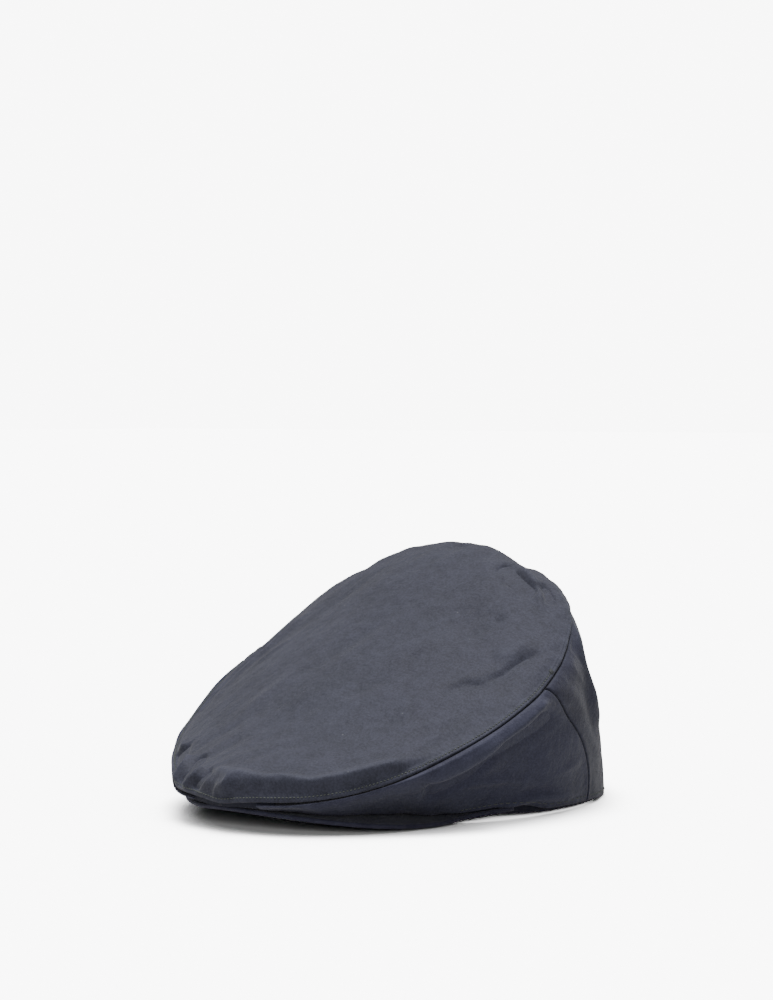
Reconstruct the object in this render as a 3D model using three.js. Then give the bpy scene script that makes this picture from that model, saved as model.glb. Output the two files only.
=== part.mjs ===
// Flat cap in waxed cotton, sewn from a top panel, two side panels and a back panel over a stiff
// peak, with a band inside the head opening.
//
// Millimetres. +Z is up, the peak points along -Y and the wearer's left is +X. The sizes below are
// measured from the middle of the head oval, with the surface that the cap rests on at height 0.
import * as THREE from 'three';

// Head opening, size 58, to the outside of the cloth
const HEAD_HALF_WIDTH = 84;
const HEAD_HALF_LENGTH = 102;

// Cloth and band. SEAM_TURN is how far below the seam the lining's slant gives way to the cloth's
// own direction, and SIDE_SEAM_TRIM the half gap of a side seam as a share of a station.
const CLOTH = 1.4;
const SEAM_GAP = 0.4;
const SEAM_TURN = 7;
const SIDE_SEAM_TRIM = 0.014;
const BAND_THICKNESS = 1.2;
const BAND_HEIGHT = 27;
const BAND_CLEARANCE = 0.35;
const BAND_LEAN = 3.5;

// Peak: a bent plate whose front is half an oval, a little squarer than an ellipse, and whose ends
// run back along the head oval
const PEAK_THICKNESS = 2.2;
const PEAK_HALF_WIDTH = 71;
const PEAK_SQUARENESS = 2.12;
const PEAK_REACH = 87;
const PEAK_MIDDLE_ALONG = -62;
const PEAK_ARCH = 10;
const PEAK_ARCH_HALF_WIDTH = 70;
const PEAK_CORNER_LIFT = 3.8;
const PEAK_CORNER_LIFT_FROM = -75;
const PEAK_CORNER_LIFT_TO = -30;
const PEAK_CORNER_TURN = -17;

// Turns round the head oval are in degrees from the wearer's left, -90 the front and 90 the back.
// The hem lies on the surface round the back and lifts off it a little along the sides.
const SIDE_SEAM_FOOT_TURN = 17;
const HEM_FLAT_TURN = 52;
const HEM_SIDE_LIFT = 3;

// Stations round the left half of the cap, from the middle of the front to the middle of the back.
// seam: where the top panel meets the cloth below it. foot: where that cloth ends, as a turn round
// the head oval and a distance outside it. roll: how far the cloth swells out and up as it leaves
// the seam. skirt: how far out and up it is steered above its foot.
const STATIONS = [
  { seam: [0, -152, 13.1], foot: [-90, 46.6], rollOut: 0, rollUp: -0.5, skirtOut: 0, skirtUp: 0.5 },
  { seam: [20, -149.5, 14.1], foot: [-81.5, 45.6], rollOut: 0, rollUp: -1, skirtOut: 0, skirtUp: 1 },
  { seam: [38, -141.5, 15.2], foot: [-74.3, 39.5], rollOut: 0, rollUp: -2, skirtOut: 1, skirtUp: 2 },
  { seam: [53.5, -129, 18], foot: [-66.5, 29], rollOut: 0, rollUp: -3, skirtOut: 4, skirtUp: 4 },
  { seam: [66, -116, 22.4], foot: [-58.7, 16], rollOut: 1, rollUp: -3, skirtOut: 8, skirtUp: 6 },
  { seam: [76.5, -103, 28.2], foot: [-50, 6], rollOut: 3, rollUp: -1, skirtOut: 11, skirtUp: 8 },
  { seam: [86.5, -86, 36.3], foot: [-39.5, 1.5], rollOut: 6, rollUp: 1, skirtOut: 12, skirtUp: 11 },
  { seam: [94.2, -66, 45.8], foot: [-26.5, 0], rollOut: 7, rollUp: 3, skirtOut: 11, skirtUp: 16 },
  { seam: [98.2, -47, 55.4], foot: [-7, 0], rollOut: 8, rollUp: 3, skirtOut: 9, skirtUp: 22 },
  { seam: [98.6, -29.5, 64.6], foot: [SIDE_SEAM_FOOT_TURN, 0], rollOut: 8, rollUp: 1, skirtOut: 6, skirtUp: 28 },
  { seam: [93.6, -6.5, 78.8], foot: [29, 0], rollOut: 7, rollUp: -3, skirtOut: 3, skirtUp: 36 },
  { seam: [82, 14.5, 95.3], foot: [41, 0], rollOut: 6, rollUp: -8, skirtOut: 1, skirtUp: 42 },
  { seam: [64, 31.5, 104.3], foot: [53, 0], rollOut: 6.5, rollUp: -11, skirtOut: 0, skirtUp: 42 },
  { seam: [41.5, 51.5, 108.6], foot: [65.5, 0], rollOut: 7, rollUp: -12, skirtOut: 0, skirtUp: 42 },
  { seam: [22, 66.5, 109], foot: [78, 0], rollOut: 7, rollUp: -12, skirtOut: 0, skirtUp: 42 },
  { seam: [0, 73, 108], foot: [90, 0], rollOut: 7, rollUp: -12, skirtOut: 0, skirtUp: 42 },
];
const SIDE_SEAM_STATION = 9;

// Middle line of the top panel, from the front edge over the crown to the back seam. fullness: the
// power of the curve across the cap there, lower where the edge rolls down more steeply.
const SPINE = [
  { along: -152, up: 13.1, fullness: 0.55 },
  { along: -150.5, up: 19, fullness: 0.55 },
  { along: -147, up: 25, fullness: 0.55 },
  { along: -138, up: 30.5, fullness: 0.58 },
  { along: -120, up: 38, fullness: 0.64 },
  { along: -100, up: 48, fullness: 0.72 },
  { along: -75, up: 63.5, fullness: 0.78 },
  { along: -50, up: 79.5, fullness: 0.78 },
  { along: -25, up: 95.5, fullness: 0.76 },
  { along: -2, up: 111.5, fullness: 0.72 },
  { along: 16, up: 122.5, fullness: 0.68 },
  { along: 30, up: 128.5, fullness: 0.66 },
  { along: 41, up: 129.6, fullness: 0.66 },
  { along: 50, up: 127.2, fullness: 0.64 },
  { along: 59, up: 121.5, fullness: 0.62 },
  { along: 67, up: 114.3, fullness: 0.6 },
  { along: 73, up: 108, fullness: 0.6 },
];

// Soft folds of the worn cloth: a ridge (rise above 0) or a dent along a line seen from above
const TOP_FOLDS = [
  { from: [-4, 62], to: [48, 36], width: 13, rise: -5.0 },
  { from: [4, 76], to: [30, 60], width: 5, rise: 1.6 },
  { from: [40, -20], to: [84, -46], width: 12, rise: -1.2 },
  { from: [-60, -124], to: [-38, -104], width: 5, rise: -1.4 },
  { from: [-38, -140], to: [-24, -118], width: 5, rise: -1.4 },
  { from: [-86, -70], to: [-80, 0], width: 7, rise: -1.5 },
];

// Folds of the hanging cloth, from one station and height to another
const WALL_FOLDS = [
  { fromStation: 6.2, fromHigh: 22, toStation: 9.0, toHigh: 50, width: 8, rise: -2.2 },
  { fromStation: 10.4, fromHigh: 92, toStation: 10.1, toHigh: 45, width: 6, rise: -1.6 },
  { fromStation: 12.2, fromHigh: 86, toStation: 12.0, toHigh: 30, width: 8, rise: 1.8 },
  { fromStation: 15.8, fromHigh: 86, toStation: 16.0, toHigh: 50, width: 9, rise: -1.5 },
  { fromStation: 18.4, fromHigh: 68, toStation: 20.6, toHigh: 48, width: 8, rise: -1.8 },
];

// How finely the surfaces are divided
const SPOKES_PER_STATION = 3;
const TOP_RINGS = [0, 0.16, 0.32, 0.47, 0.6, 0.71, 0.8, 0.87, 0.925, 0.965, 1];
const WALL_ROWS = 9;
const PEAK_ROWS = 6;
const PEAK_COLUMNS = 30;
const BAND_COLUMNS = 72;

const CROWN_MIDDLE_ALONG = -25;
const UP = new THREE.Vector3(0, 0, 1);

// A point of the head oval, at a turn in degrees and moved outwards by a distance
function headOval(turn, outwards = 0) {
  const angle = THREE.MathUtils.degToRad(turn);
  const side = (HEAD_HALF_WIDTH + outwards) * Math.cos(angle);
  const along = (HEAD_HALF_LENGTH + outwards) * Math.sin(angle);
  return [side, along];
}

// Height of the peak's under face: an arch across the cap that flattens towards its sides, where it
// rises a little again to its corners
function peakUnder(side, along) {
  const arch = PEAK_ARCH * (1 - (side / PEAK_ARCH_HALF_WIDTH) ** 2);
  const corner = THREE.MathUtils.smoothstep(along, PEAK_CORNER_LIFT_FROM, PEAK_CORNER_LIFT_TO);
  return 0.5 * (arch + Math.hypot(arch, 1.2)) + PEAK_CORNER_LIFT * corner;
}

// Height of the hem behind the peak, at a turn in degrees round the head oval
function hemHeight(turn) {
  const fromBack = Math.abs(THREE.MathUtils.euclideanModulo(turn - 90 + 180, 360) - 180);
  const rise = THREE.MathUtils.smoothstep(fromBack, 90 - HEM_FLAT_TURN, 90);
  return HEM_SIDE_LIFT * rise;
}

function mirrored(row) {
  return {
    ...row,
    seam: [-row.seam[0], row.seam[1], row.seam[2]],
    foot: [180 - row.foot[0], row.foot[1]],
  };
}

// The stations of both halves, once round the cap from the middle of the front
const around = [...STATIONS, ...STATIONS.slice(1, -1).reverse().map(mirrored)];
const SPOKES = around.length * SPOKES_PER_STATION;
const LEFT_SEAM = SIDE_SEAM_STATION;
const RIGHT_SEAM = around.length - SIDE_SEAM_STATION;
const LEFT_TIP = 1;
const RIGHT_TIP = around.length - LEFT_TIP;

const seamCurve = new THREE.CatmullRomCurve3(
  around.map((row) => new THREE.Vector3(...row.seam)), true, 'catmullrom', 0.5);
const footCurve = new THREE.CatmullRomCurve3(
  [...around, mirrored(STATIONS[0])].map((row) => new THREE.Vector3(...row.foot, 0)), false, 'catmullrom', 0.5);

function shareRound(station) {
  return THREE.MathUtils.euclideanModulo(station / around.length, 1);
}

function seamPoint(station) {
  return seamCurve.getPoint(shareRound(station));
}

// A number of the station table, blended between the stations
function stationValue(station, name) {
  const place = THREE.MathUtils.euclideanModulo(station, around.length);
  const before = Math.floor(place);
  const blend = place - before;
  const next = around[(before + 1) % around.length];
  return THREE.MathUtils.lerp(around[before][name], next[name], blend * blend * (3 - 2 * blend));
}

// The cloth's foot: on the hem round the back and sides, and on the peak's upper face in front
function footPoint(station, outwards = 0) {
  const foot = footCurve.getPoint(shareRound(station));
  const [side, along] = headOval(foot.x, Math.max(foot.y, 0) + outwards);
  return new THREE.Vector3(side, along, footHeight(side, along));
}

function footHeight(side, along) {
  const turn = THREE.MathUtils.radToDeg(Math.atan2(along / HEAD_HALF_LENGTH, Math.abs(side) / HEAD_HALF_WIDTH));
  const onPeak = peakUnder(side, along) + PEAK_THICKNESS + SEAM_GAP;
  const towardsPeak = THREE.MathUtils.smoothstep(-turn, -PEAK_CORNER_TURN - 14, -PEAK_CORNER_TURN - 2);
  return THREE.MathUtils.lerp(hemHeight(turn), onPeak, towardsPeak);
}

// Level direction that points away from the cap at a station
function outwardsAt(station) {
  const ahead = seamPoint(station + 0.05).sub(seamPoint(station - 0.05));
  return new THREE.Vector3(ahead.y, -ahead.x, 0).normalize();
}

// Height of the middle line, and the fullness across it, at a place along the cap
const spineCurve = new THREE.CatmullRomCurve3(
  SPINE.map((row) => new THREE.Vector3(row.along, row.up, row.fullness)), false, 'centripetal');

function solveAlong(curvePoint, axis, from, to, along) {
  let low = from;
  let high = to;
  for (let step = 0; step < 40; step += 1) {
    const middle = 0.5 * (low + high);
    if (curvePoint(middle)[axis] < along) {
      low = middle;
    } else {
      high = middle;
    }
  }
  return curvePoint(0.5 * (low + high));
}

function spineAt(along) {
  const point = solveAlong((t) => spineCurve.getPoint(t), 'x', 0, 1, along);
  return { up: point.y, fullness: point.z };
}

// How much a set of folds lifts a point, each fading out across its width and past its ends
function foldLift(folds, x, y, ends) {
  let lift = 0;
  for (const fold of folds) {
    const [from, to] = ends(fold);
    const lineX = to[0] - from[0];
    const lineY = to[1] - from[1];
    const share = ((x - from[0]) * lineX + (y - from[1]) * lineY) / (lineX ** 2 + lineY ** 2);
    const held = THREE.MathUtils.clamp(share, 0, 1);
    const distance = Math.hypot(x - from[0] - held * lineX, y - from[1] - held * lineY);
    lift += fold.rise * Math.exp(-((distance / fold.width) ** 2));
  }
  return lift;
}

// Outside of the top panel: ring is 0 in the middle and 1 on the seam
function topPoint(station, ring) {
  const edge = seamPoint(station);
  const x = edge.x * ring;
  const y = CROWN_MIDDLE_ALONG + (edge.y - CROWN_MIDDLE_ALONG) * ring;
  const edgeHere = solveAlong(seamPoint, 'y', 0, STATIONS.length - 1, y);
  const spine = spineAt(y);
  const across = Math.min(1, Math.abs(x) / Math.max(edgeHere.x, 0.01));
  const share = Math.max(0, 1 - across ** 2) ** spine.fullness;
  const fade = 1 - THREE.MathUtils.smoothstep(ring, 0.86, 1);
  const fold = foldLift(TOP_FOLDS, x, y, (row) => [row.from, row.to]);
  return new THREE.Vector3(x, y, edgeHere.z + (spine.up - edgeHere.z) * share + fold * fade);
}

// Outside of the side and back panels: drop is 0 on the seam and 1 at the foot
function wallPoint(station, drop) {
  const seam = seamPoint(station);
  const foot = footPoint(station);
  const outwards = outwardsAt(station);
  const swell = seam.clone()
    .addScaledVector(outwards, stationValue(station, 'rollOut'))
    .addScaledVector(UP, stationValue(station, 'rollUp'));
  const skirt = footPoint(station, stationValue(station, 'skirtOut'));
  skirt.z = foot.z + stationValue(station, 'skirtUp');
  const point = new THREE.CubicBezierCurve3(seam, swell, skirt, foot).getPoint(drop);
  const round = seamCurve.getLength() / around.length;
  const lift = foldLift(WALL_FOLDS, station * round, point.z, (row) => [
    [row.fromStation * round, row.fromHigh], [row.toStation * round, row.toHigh]]);
  const fade = THREE.MathUtils.smoothstep(drop, 0, 0.15) * (1 - THREE.MathUtils.smoothstep(drop, 0.8, 1));
  return point.addScaledVector(outwards, lift * fade);
}

// Direction out of a surface, from two short steps on it
function surfaceNormal(surface, station, place, inside) {
  const sideStep = 0.04;
  const placeStep = 0.012;
  const low = Math.max(place - placeStep, inside);
  const high = Math.min(place + placeStep, 1);
  const round = surface(station + sideStep, place).sub(surface(station - sideStep, place));
  const down = surface(station, high).sub(surface(station, low));
  return down.cross(round).normalize();
}

function topNormal(station, ring) {
  return surfaceNormal(topPoint, station, Math.max(ring, 0.03), 0.01);
}

// A closed body between an outer and an inner grid of points. closed: the columns run right round.
// pole: the first row is one point.
function bodyBetween(outer, inner, { closed = false, pole = false } = {}) {
  const rows = outer.length;
  const columns = outer[rows - 1].length;
  const positions = [];
  const index = [];
  const place = (grid) => grid.map((row) => row.map((point) => positions.push(point.x, point.y, point.z) / 3 - 1));
  const skin = place(outer);
  const lining = place(inner);
  const quad = (a, b, c, d) => index.push(a, b, c, a, c, d);
  const last = closed ? columns : columns - 1;
  const start = pole ? 1 : 0;
  for (let column = 0; column < last; column += 1) {
    const next = (column + 1) % columns;
    for (let row = start; row < rows - 1; row += 1) {
      quad(skin[row][column], skin[row + 1][column], skin[row + 1][next], skin[row][next]);
      quad(lining[row][next], lining[row + 1][next], lining[row + 1][column], lining[row][column]);
    }
    if (pole) {
      index.push(skin[0][0], skin[1][column], skin[1][next]);
      index.push(lining[0][0], lining[1][next], lining[1][column]);
    } else {
      quad(lining[0][column], skin[0][column], skin[0][next], lining[0][next]);
    }
    quad(lining[rows - 1][column], lining[rows - 1][next], skin[rows - 1][next], skin[rows - 1][column]);
  }
  if (!closed) {
    const end = columns - 1;
    for (let row = 0; row < rows - 1; row += 1) {
      quad(skin[row][0], lining[row][0], lining[row + 1][0], skin[row + 1][0]);
      quad(lining[row][end], skin[row][end], skin[row + 1][end], lining[row + 1][end]);
    }
  }
  const geometry = new THREE.BufferGeometry();
  geometry.setAttribute('position', new THREE.Float32BufferAttribute(positions, 3));
  geometry.setIndex(index);
  geometry.computeVertexNormals();
  return geometry;
}

// At the seam both panels are cut along the same slanted face, so that they meet without crossing
function seamNormal(station) {
  return topNormal(station, 0.985).add(surfaceNormal(wallPoint, station, 0.05, 0)).normalize();
}

function topPanel() {
  const outer = [];
  const inner = [];
  for (const ring of TOP_RINGS) {
    const count = ring === 0 ? 1 : SPOKES;
    const outerRow = [];
    const innerRow = [];
    for (let spoke = 0; spoke < count; spoke += 1) {
      const station = spoke / SPOKES_PER_STATION;
      const onEdge = ring === 1;
      const point = topPoint(station, ring);
      const normal = onEdge ? seamNormal(station) : topNormal(station, ring);
      if (onEdge) {
        point.addScaledVector(topPoint(station, 0.97).sub(point).normalize(), SEAM_GAP / 2);
      }
      outerRow.push(point);
      innerRow.push(point.clone().addScaledVector(normal, -CLOTH));
    }
    outer.push(outerRow);
    inner.push(innerRow);
  }
  return bodyBetween(outer, inner, { closed: true, pole: true });
}

// A panel of the hanging cloth between two stations
function wallPanel(fromStation, toStation) {
  const columns = Math.round((toStation - fromStation) * SPOKES_PER_STATION);
  const outer = [];
  const inner = [];
  for (let row = 0; row <= WALL_ROWS; row += 1) {
    const drop = row / WALL_ROWS;
    const outerRow = [];
    const innerRow = [];
    for (let column = 0; column <= columns; column += 1) {
      let station = THREE.MathUtils.lerp(fromStation, toStation, column / columns);
      station += column === 0 ? SIDE_SEAM_TRIM : 0;
      station -= column === columns ? SIDE_SEAM_TRIM : 0;
      const point = wallPoint(station, drop);
      const fromSeam = point.distanceTo(wallPoint(station, 0));
      const turned = THREE.MathUtils.smoothstep(fromSeam, 0, SEAM_TURN);
      const normal = seamNormal(station).lerp(surfaceNormal(wallPoint, station, drop, 0), turned).normalize();
      if (row === 0) {
        point.addScaledVector(wallPoint(station, 0.06).sub(point).normalize(), SEAM_GAP / 2);
      }
      const lining = point.clone().addScaledVector(normal, -CLOTH);
      if (row === WALL_ROWS) {
        lining.copy(footPoint(station, -CLOTH));
      }
      outerRow.push(point);
      innerRow.push(lining);
    }
    outer.push(outerRow);
    inner.push(innerRow);
  }
  return bodyBetween(outer, inner);
}

// A point of the peak's outer edge: half an oval in front, then back to the corners
function peakEdge(share) {
  const [cornerSide, cornerAlong] = headOval(PEAK_CORNER_TURN, 0);
  const endShare = 0.16;
  const fromEnd = Math.min(share, 1 - share);
  const hand = share < 0.5 ? 1 : -1;
  if (fromEnd < endShare) {
    const blend = fromEnd / endShare;
    const side = THREE.MathUtils.lerp(cornerSide, PEAK_HALF_WIDTH, THREE.MathUtils.smoothstep(blend, 0, 1));
    return [hand * side, THREE.MathUtils.lerp(cornerAlong, PEAK_MIDDLE_ALONG, blend)];
  }
  const turn = Math.PI * (share - endShare) / (1 - 2 * endShare);
  const across = hand * Math.abs(Math.cos(turn)) ** (2 / PEAK_SQUARENESS);
  const ahead = Math.sin(turn) ** (2 / PEAK_SQUARENESS);
  return [PEAK_HALF_WIDTH * across, PEAK_MIDDLE_ALONG - PEAK_REACH * ahead];
}

function peak() {
  const upper = [];
  const under = [];
  for (let row = 0; row <= PEAK_ROWS; row += 1) {
    const upperRow = [];
    const underRow = [];
    for (let column = 0; column <= PEAK_COLUMNS; column += 1) {
      const share = column / PEAK_COLUMNS;
      const turn = THREE.MathUtils.lerp(PEAK_CORNER_TURN, -180 - PEAK_CORNER_TURN, share);
      const [innerSide, innerAlong] = headOval(turn, -CLOTH);
      const [outerSide, outerAlong] = peakEdge(share);
      const reach = row / PEAK_ROWS;
      const side = THREE.MathUtils.lerp(innerSide, outerSide, reach);
      const along = THREE.MathUtils.lerp(innerAlong, outerAlong, reach);
      upperRow.push(new THREE.Vector3(side, along, peakUnder(side, along) + PEAK_THICKNESS));
      underRow.push(new THREE.Vector3(side, along, peakUnder(side, along)));
    }
    upper.push(upperRow);
    under.push(underRow);
  }
  return bodyBetween(under, upper);
}

// The band inside the head opening, standing on the same line as the hem and the peak's inner edge
function sweatband() {
  const outer = [];
  const inner = [];
  for (const high of [BAND_HEIGHT, BAND_HEIGHT / 2, 0]) {
    const face = -CLOTH - BAND_CLEARANCE - BAND_LEAN * high / BAND_HEIGHT;
    const outerRow = [];
    const innerRow = [];
    for (let column = 0; column < BAND_COLUMNS; column += 1) {
      const turn = -90 + 360 * column / BAND_COLUMNS;
      for (const [row, depth] of [[outerRow, face], [innerRow, face - BAND_THICKNESS]]) {
        const [side, along] = headOval(turn, depth);
        row.push(new THREE.Vector3(side, along, bandFoot(turn) + high));
      }
    }
    outer.push(outerRow);
    inner.push(innerRow);
  }
  return bodyBetween(outer, inner, { closed: true });
}

// The band ends just above the surface at the back and sides, and follows the peak's arch in front
function bandFoot(turn) {
  const [side, along] = headOval(turn, 0);
  const behind = 0.5 * hemHeight(turn);
  const towardsPeak = THREE.MathUtils.smoothstep(-along, 0, 60);
  return THREE.MathUtils.lerp(behind, peakUnder(side, along), towardsPeak);
}

const waxedCotton = (lightness) => new THREE.MeshStandardMaterial({
  color: new THREE.Color(0.105 * lightness, 0.115 * lightness, 0.145 * lightness),
  roughness: 0.62,
  metalness: 0,
});

const cap = new THREE.Group();

function addPiece(name, geometry, material) {
  const mesh = new THREE.Mesh(geometry, material);
  mesh.name = name;
  cap.add(mesh);
}

addPiece('top_panel', topPanel(), waxedCotton(1));
addPiece('side_panel_left', wallPanel(LEFT_TIP, LEFT_SEAM), waxedCotton(0.85));
addPiece('side_panel_right', wallPanel(RIGHT_SEAM, RIGHT_TIP), waxedCotton(0.85));
addPiece('back_panel', wallPanel(LEFT_SEAM, RIGHT_SEAM), waxedCotton(0.85));
addPiece('peak', peak(), waxedCotton(0.7));
addPiece('sweatband', sweatband(), waxedCotton(0.6));

// The origin is the middle of the cap's box, on the surface that it rests on
const box = new THREE.Box3().setFromObject(cap);
cap.position.set(-(box.min.x + box.max.x) / 2, -(box.min.y + box.max.y) / 2, -box.min.z);

export default cap;
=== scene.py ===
import math

import bpy
import numpy as np
from mathutils import Matrix, Vector


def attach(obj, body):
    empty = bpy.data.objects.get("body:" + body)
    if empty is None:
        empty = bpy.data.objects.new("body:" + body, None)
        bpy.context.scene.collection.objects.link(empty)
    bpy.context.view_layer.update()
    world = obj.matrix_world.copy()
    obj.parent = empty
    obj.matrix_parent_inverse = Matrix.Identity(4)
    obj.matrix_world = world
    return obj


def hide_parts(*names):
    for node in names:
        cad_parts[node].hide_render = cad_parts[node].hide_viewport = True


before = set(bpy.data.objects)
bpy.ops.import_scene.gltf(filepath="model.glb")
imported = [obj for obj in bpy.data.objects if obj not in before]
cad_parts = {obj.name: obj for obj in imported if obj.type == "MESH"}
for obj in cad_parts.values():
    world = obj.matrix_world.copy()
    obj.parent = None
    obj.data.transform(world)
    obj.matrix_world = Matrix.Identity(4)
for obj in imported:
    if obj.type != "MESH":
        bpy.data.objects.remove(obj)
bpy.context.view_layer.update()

# Flat cap in waxed cotton. The cloth is laid out in millimetres from the middle of the head oval,
# with the surface that the cap stands on at height 0, and moved into the frame at the end.
HEM_MIDDLE = (0.18, 24.97)
MM = 0.001

HEAD_HALF_WIDTH = 84.0
HEAD_HALF_LENGTH = 102.0
CLOTH = 1.4
BAND_HEIGHT = 27.0
BAND_THICKNESS = 1.2
BAND_CLEARANCE = 0.35
BAND_LEAN = 3.5

PEAK_THICKNESS = 2.2
PEAK_HALF_WIDTH = 71.0
PEAK_SQUARENESS = 2.12
PEAK_REACH = 87.0
PEAK_MIDDLE_ALONG = -62.0
PEAK_ARCH = 10.0
PEAK_ARCH_HALF_WIDTH = 70.0
PEAK_ARCH_BLEND = 1.2
PEAK_CORNER_LIFT = 3.8
PEAK_CORNER_ALONG = (-75, -30)
PEAK_CORNER_TURN = -17.0
PEAK_END_SHARE = 0.16

# The hem rises between these turns from the back, and goes onto the peak between these ahead of
# the widest place
HEM_RISE = 3.0
HEM_RISE_TURNS = (38, 90)
ONTO_PEAK_TURNS = (3, 15)
CLOTH_OVER_PEAK = 0.4

# Stations round the left half, from the middle of the front to the middle of the back.
# seam: edge of the top panel. foot: turn round the head oval and distance outside it.
# roll: how far the cloth swells out and up below the seam. skirt: the same above its foot.
STATIONS = [
    dict(seam=(0, -152, 13.1), foot=(-90, 46.6), roll=(0, -0.5), skirt=(0, 0.5)),
    dict(seam=(20, -149.5, 14.1), foot=(-81.5, 45.6), roll=(0, -1), skirt=(0, 1)),
    dict(seam=(38, -141.5, 15.2), foot=(-74.3, 39.5), roll=(0, -2), skirt=(1, 2)),
    dict(seam=(53.5, -129, 18), foot=(-66.5, 29), roll=(0, -3), skirt=(4, 4)),
    dict(seam=(66, -116, 22.4), foot=(-58.7, 16), roll=(1, -3), skirt=(8, 6)),
    dict(seam=(76.5, -103, 28.2), foot=(-50, 6), roll=(3, -1), skirt=(11, 8)),
    dict(seam=(86.5, -86, 36.3), foot=(-39.5, 1.5), roll=(6, 1), skirt=(12, 11)),
    dict(seam=(94.2, -66, 45.8), foot=(-26.5, 0), roll=(7, 3), skirt=(11, 16)),
    dict(seam=(98.2, -47, 55.4), foot=(-7, 0), roll=(8, 3), skirt=(9, 22)),
    dict(seam=(98.6, -29.5, 64.6), foot=(17, 0), roll=(8, 1), skirt=(6, 28)),
    dict(seam=(93.6, -6.5, 78.8), foot=(29, 0), roll=(7, -3), skirt=(3, 36)),
    dict(seam=(82, 14.5, 95.3), foot=(41, 0), roll=(6, -8), skirt=(1, 42)),
    dict(seam=(64, 31.5, 104.3), foot=(53, 0), roll=(6.5, -11), skirt=(0, 42)),
    dict(seam=(41.5, 51.5, 108.6), foot=(65.5, 0), roll=(7, -12), skirt=(0, 42)),
    dict(seam=(22, 66.5, 109), foot=(78, 0), roll=(7, -12), skirt=(0, 42)),
    dict(seam=(0, 73, 108), foot=(90, 0), roll=(7, -12), skirt=(0, 42)),
]
SIDE_SEAM_STATION = 9
FRONT_TIP_STATION = 1

# Middle line of the top panel: place along the cap, height and the power of the curve across it
SPINE = [
    (-152, 13.1, 0.55), (-150.5, 19, 0.55), (-147, 25, 0.55), (-138, 30.5, 0.58), (-120, 38, 0.64),
    (-100, 48, 0.72), (-75, 63.5, 0.78), (-50, 79.5, 0.78), (-25, 95.5, 0.76), (-2, 111.5, 0.72),
    (16, 122.5, 0.68), (30, 128.5, 0.66), (41, 129.6, 0.66), (50, 127.2, 0.64), (59, 121.5, 0.62),
    (67, 114.3, 0.6), (73, 108, 0.6),
]
CROWN_MIDDLE_ALONG = -25.0

# Folds of the top panel along a line seen from above: width and rise in millimetres
TOP_FOLDS = [
    dict(line=[(-4, 62), (48, 36)], width=13, rise=-5.0),
    dict(line=[(4, 76), (30, 60)], width=5, rise=1.6),
    dict(line=[(40, -20), (84, -46)], width=12, rise=-1.2),
    dict(line=[(-60, -124), (-38, -104)], width=5, rise=-1.4),
    dict(line=[(-38, -140), (-24, -118)], width=5, rise=-1.4),
    dict(line=[(-86, -70), (-80, 0)], width=7, rise=-1.5),
]

# Folds of the hanging cloth, as (station, height) points
WALL_FOLDS = [
    dict(line=[(6.2, 22), (9.0, 50)], width=8, rise=-2.2),
    dict(line=[(10.4, 92), (10.1, 45)], width=6, rise=-1.6),
    dict(line=[(12.2, 86), (12.0, 30)], width=8, rise=1.8),
    dict(line=[(15.8, 86), (16.0, 50)], width=9, rise=-1.5),
    dict(line=[(18.4, 68), (20.6, 48)], width=8, rise=-1.8),
]

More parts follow.
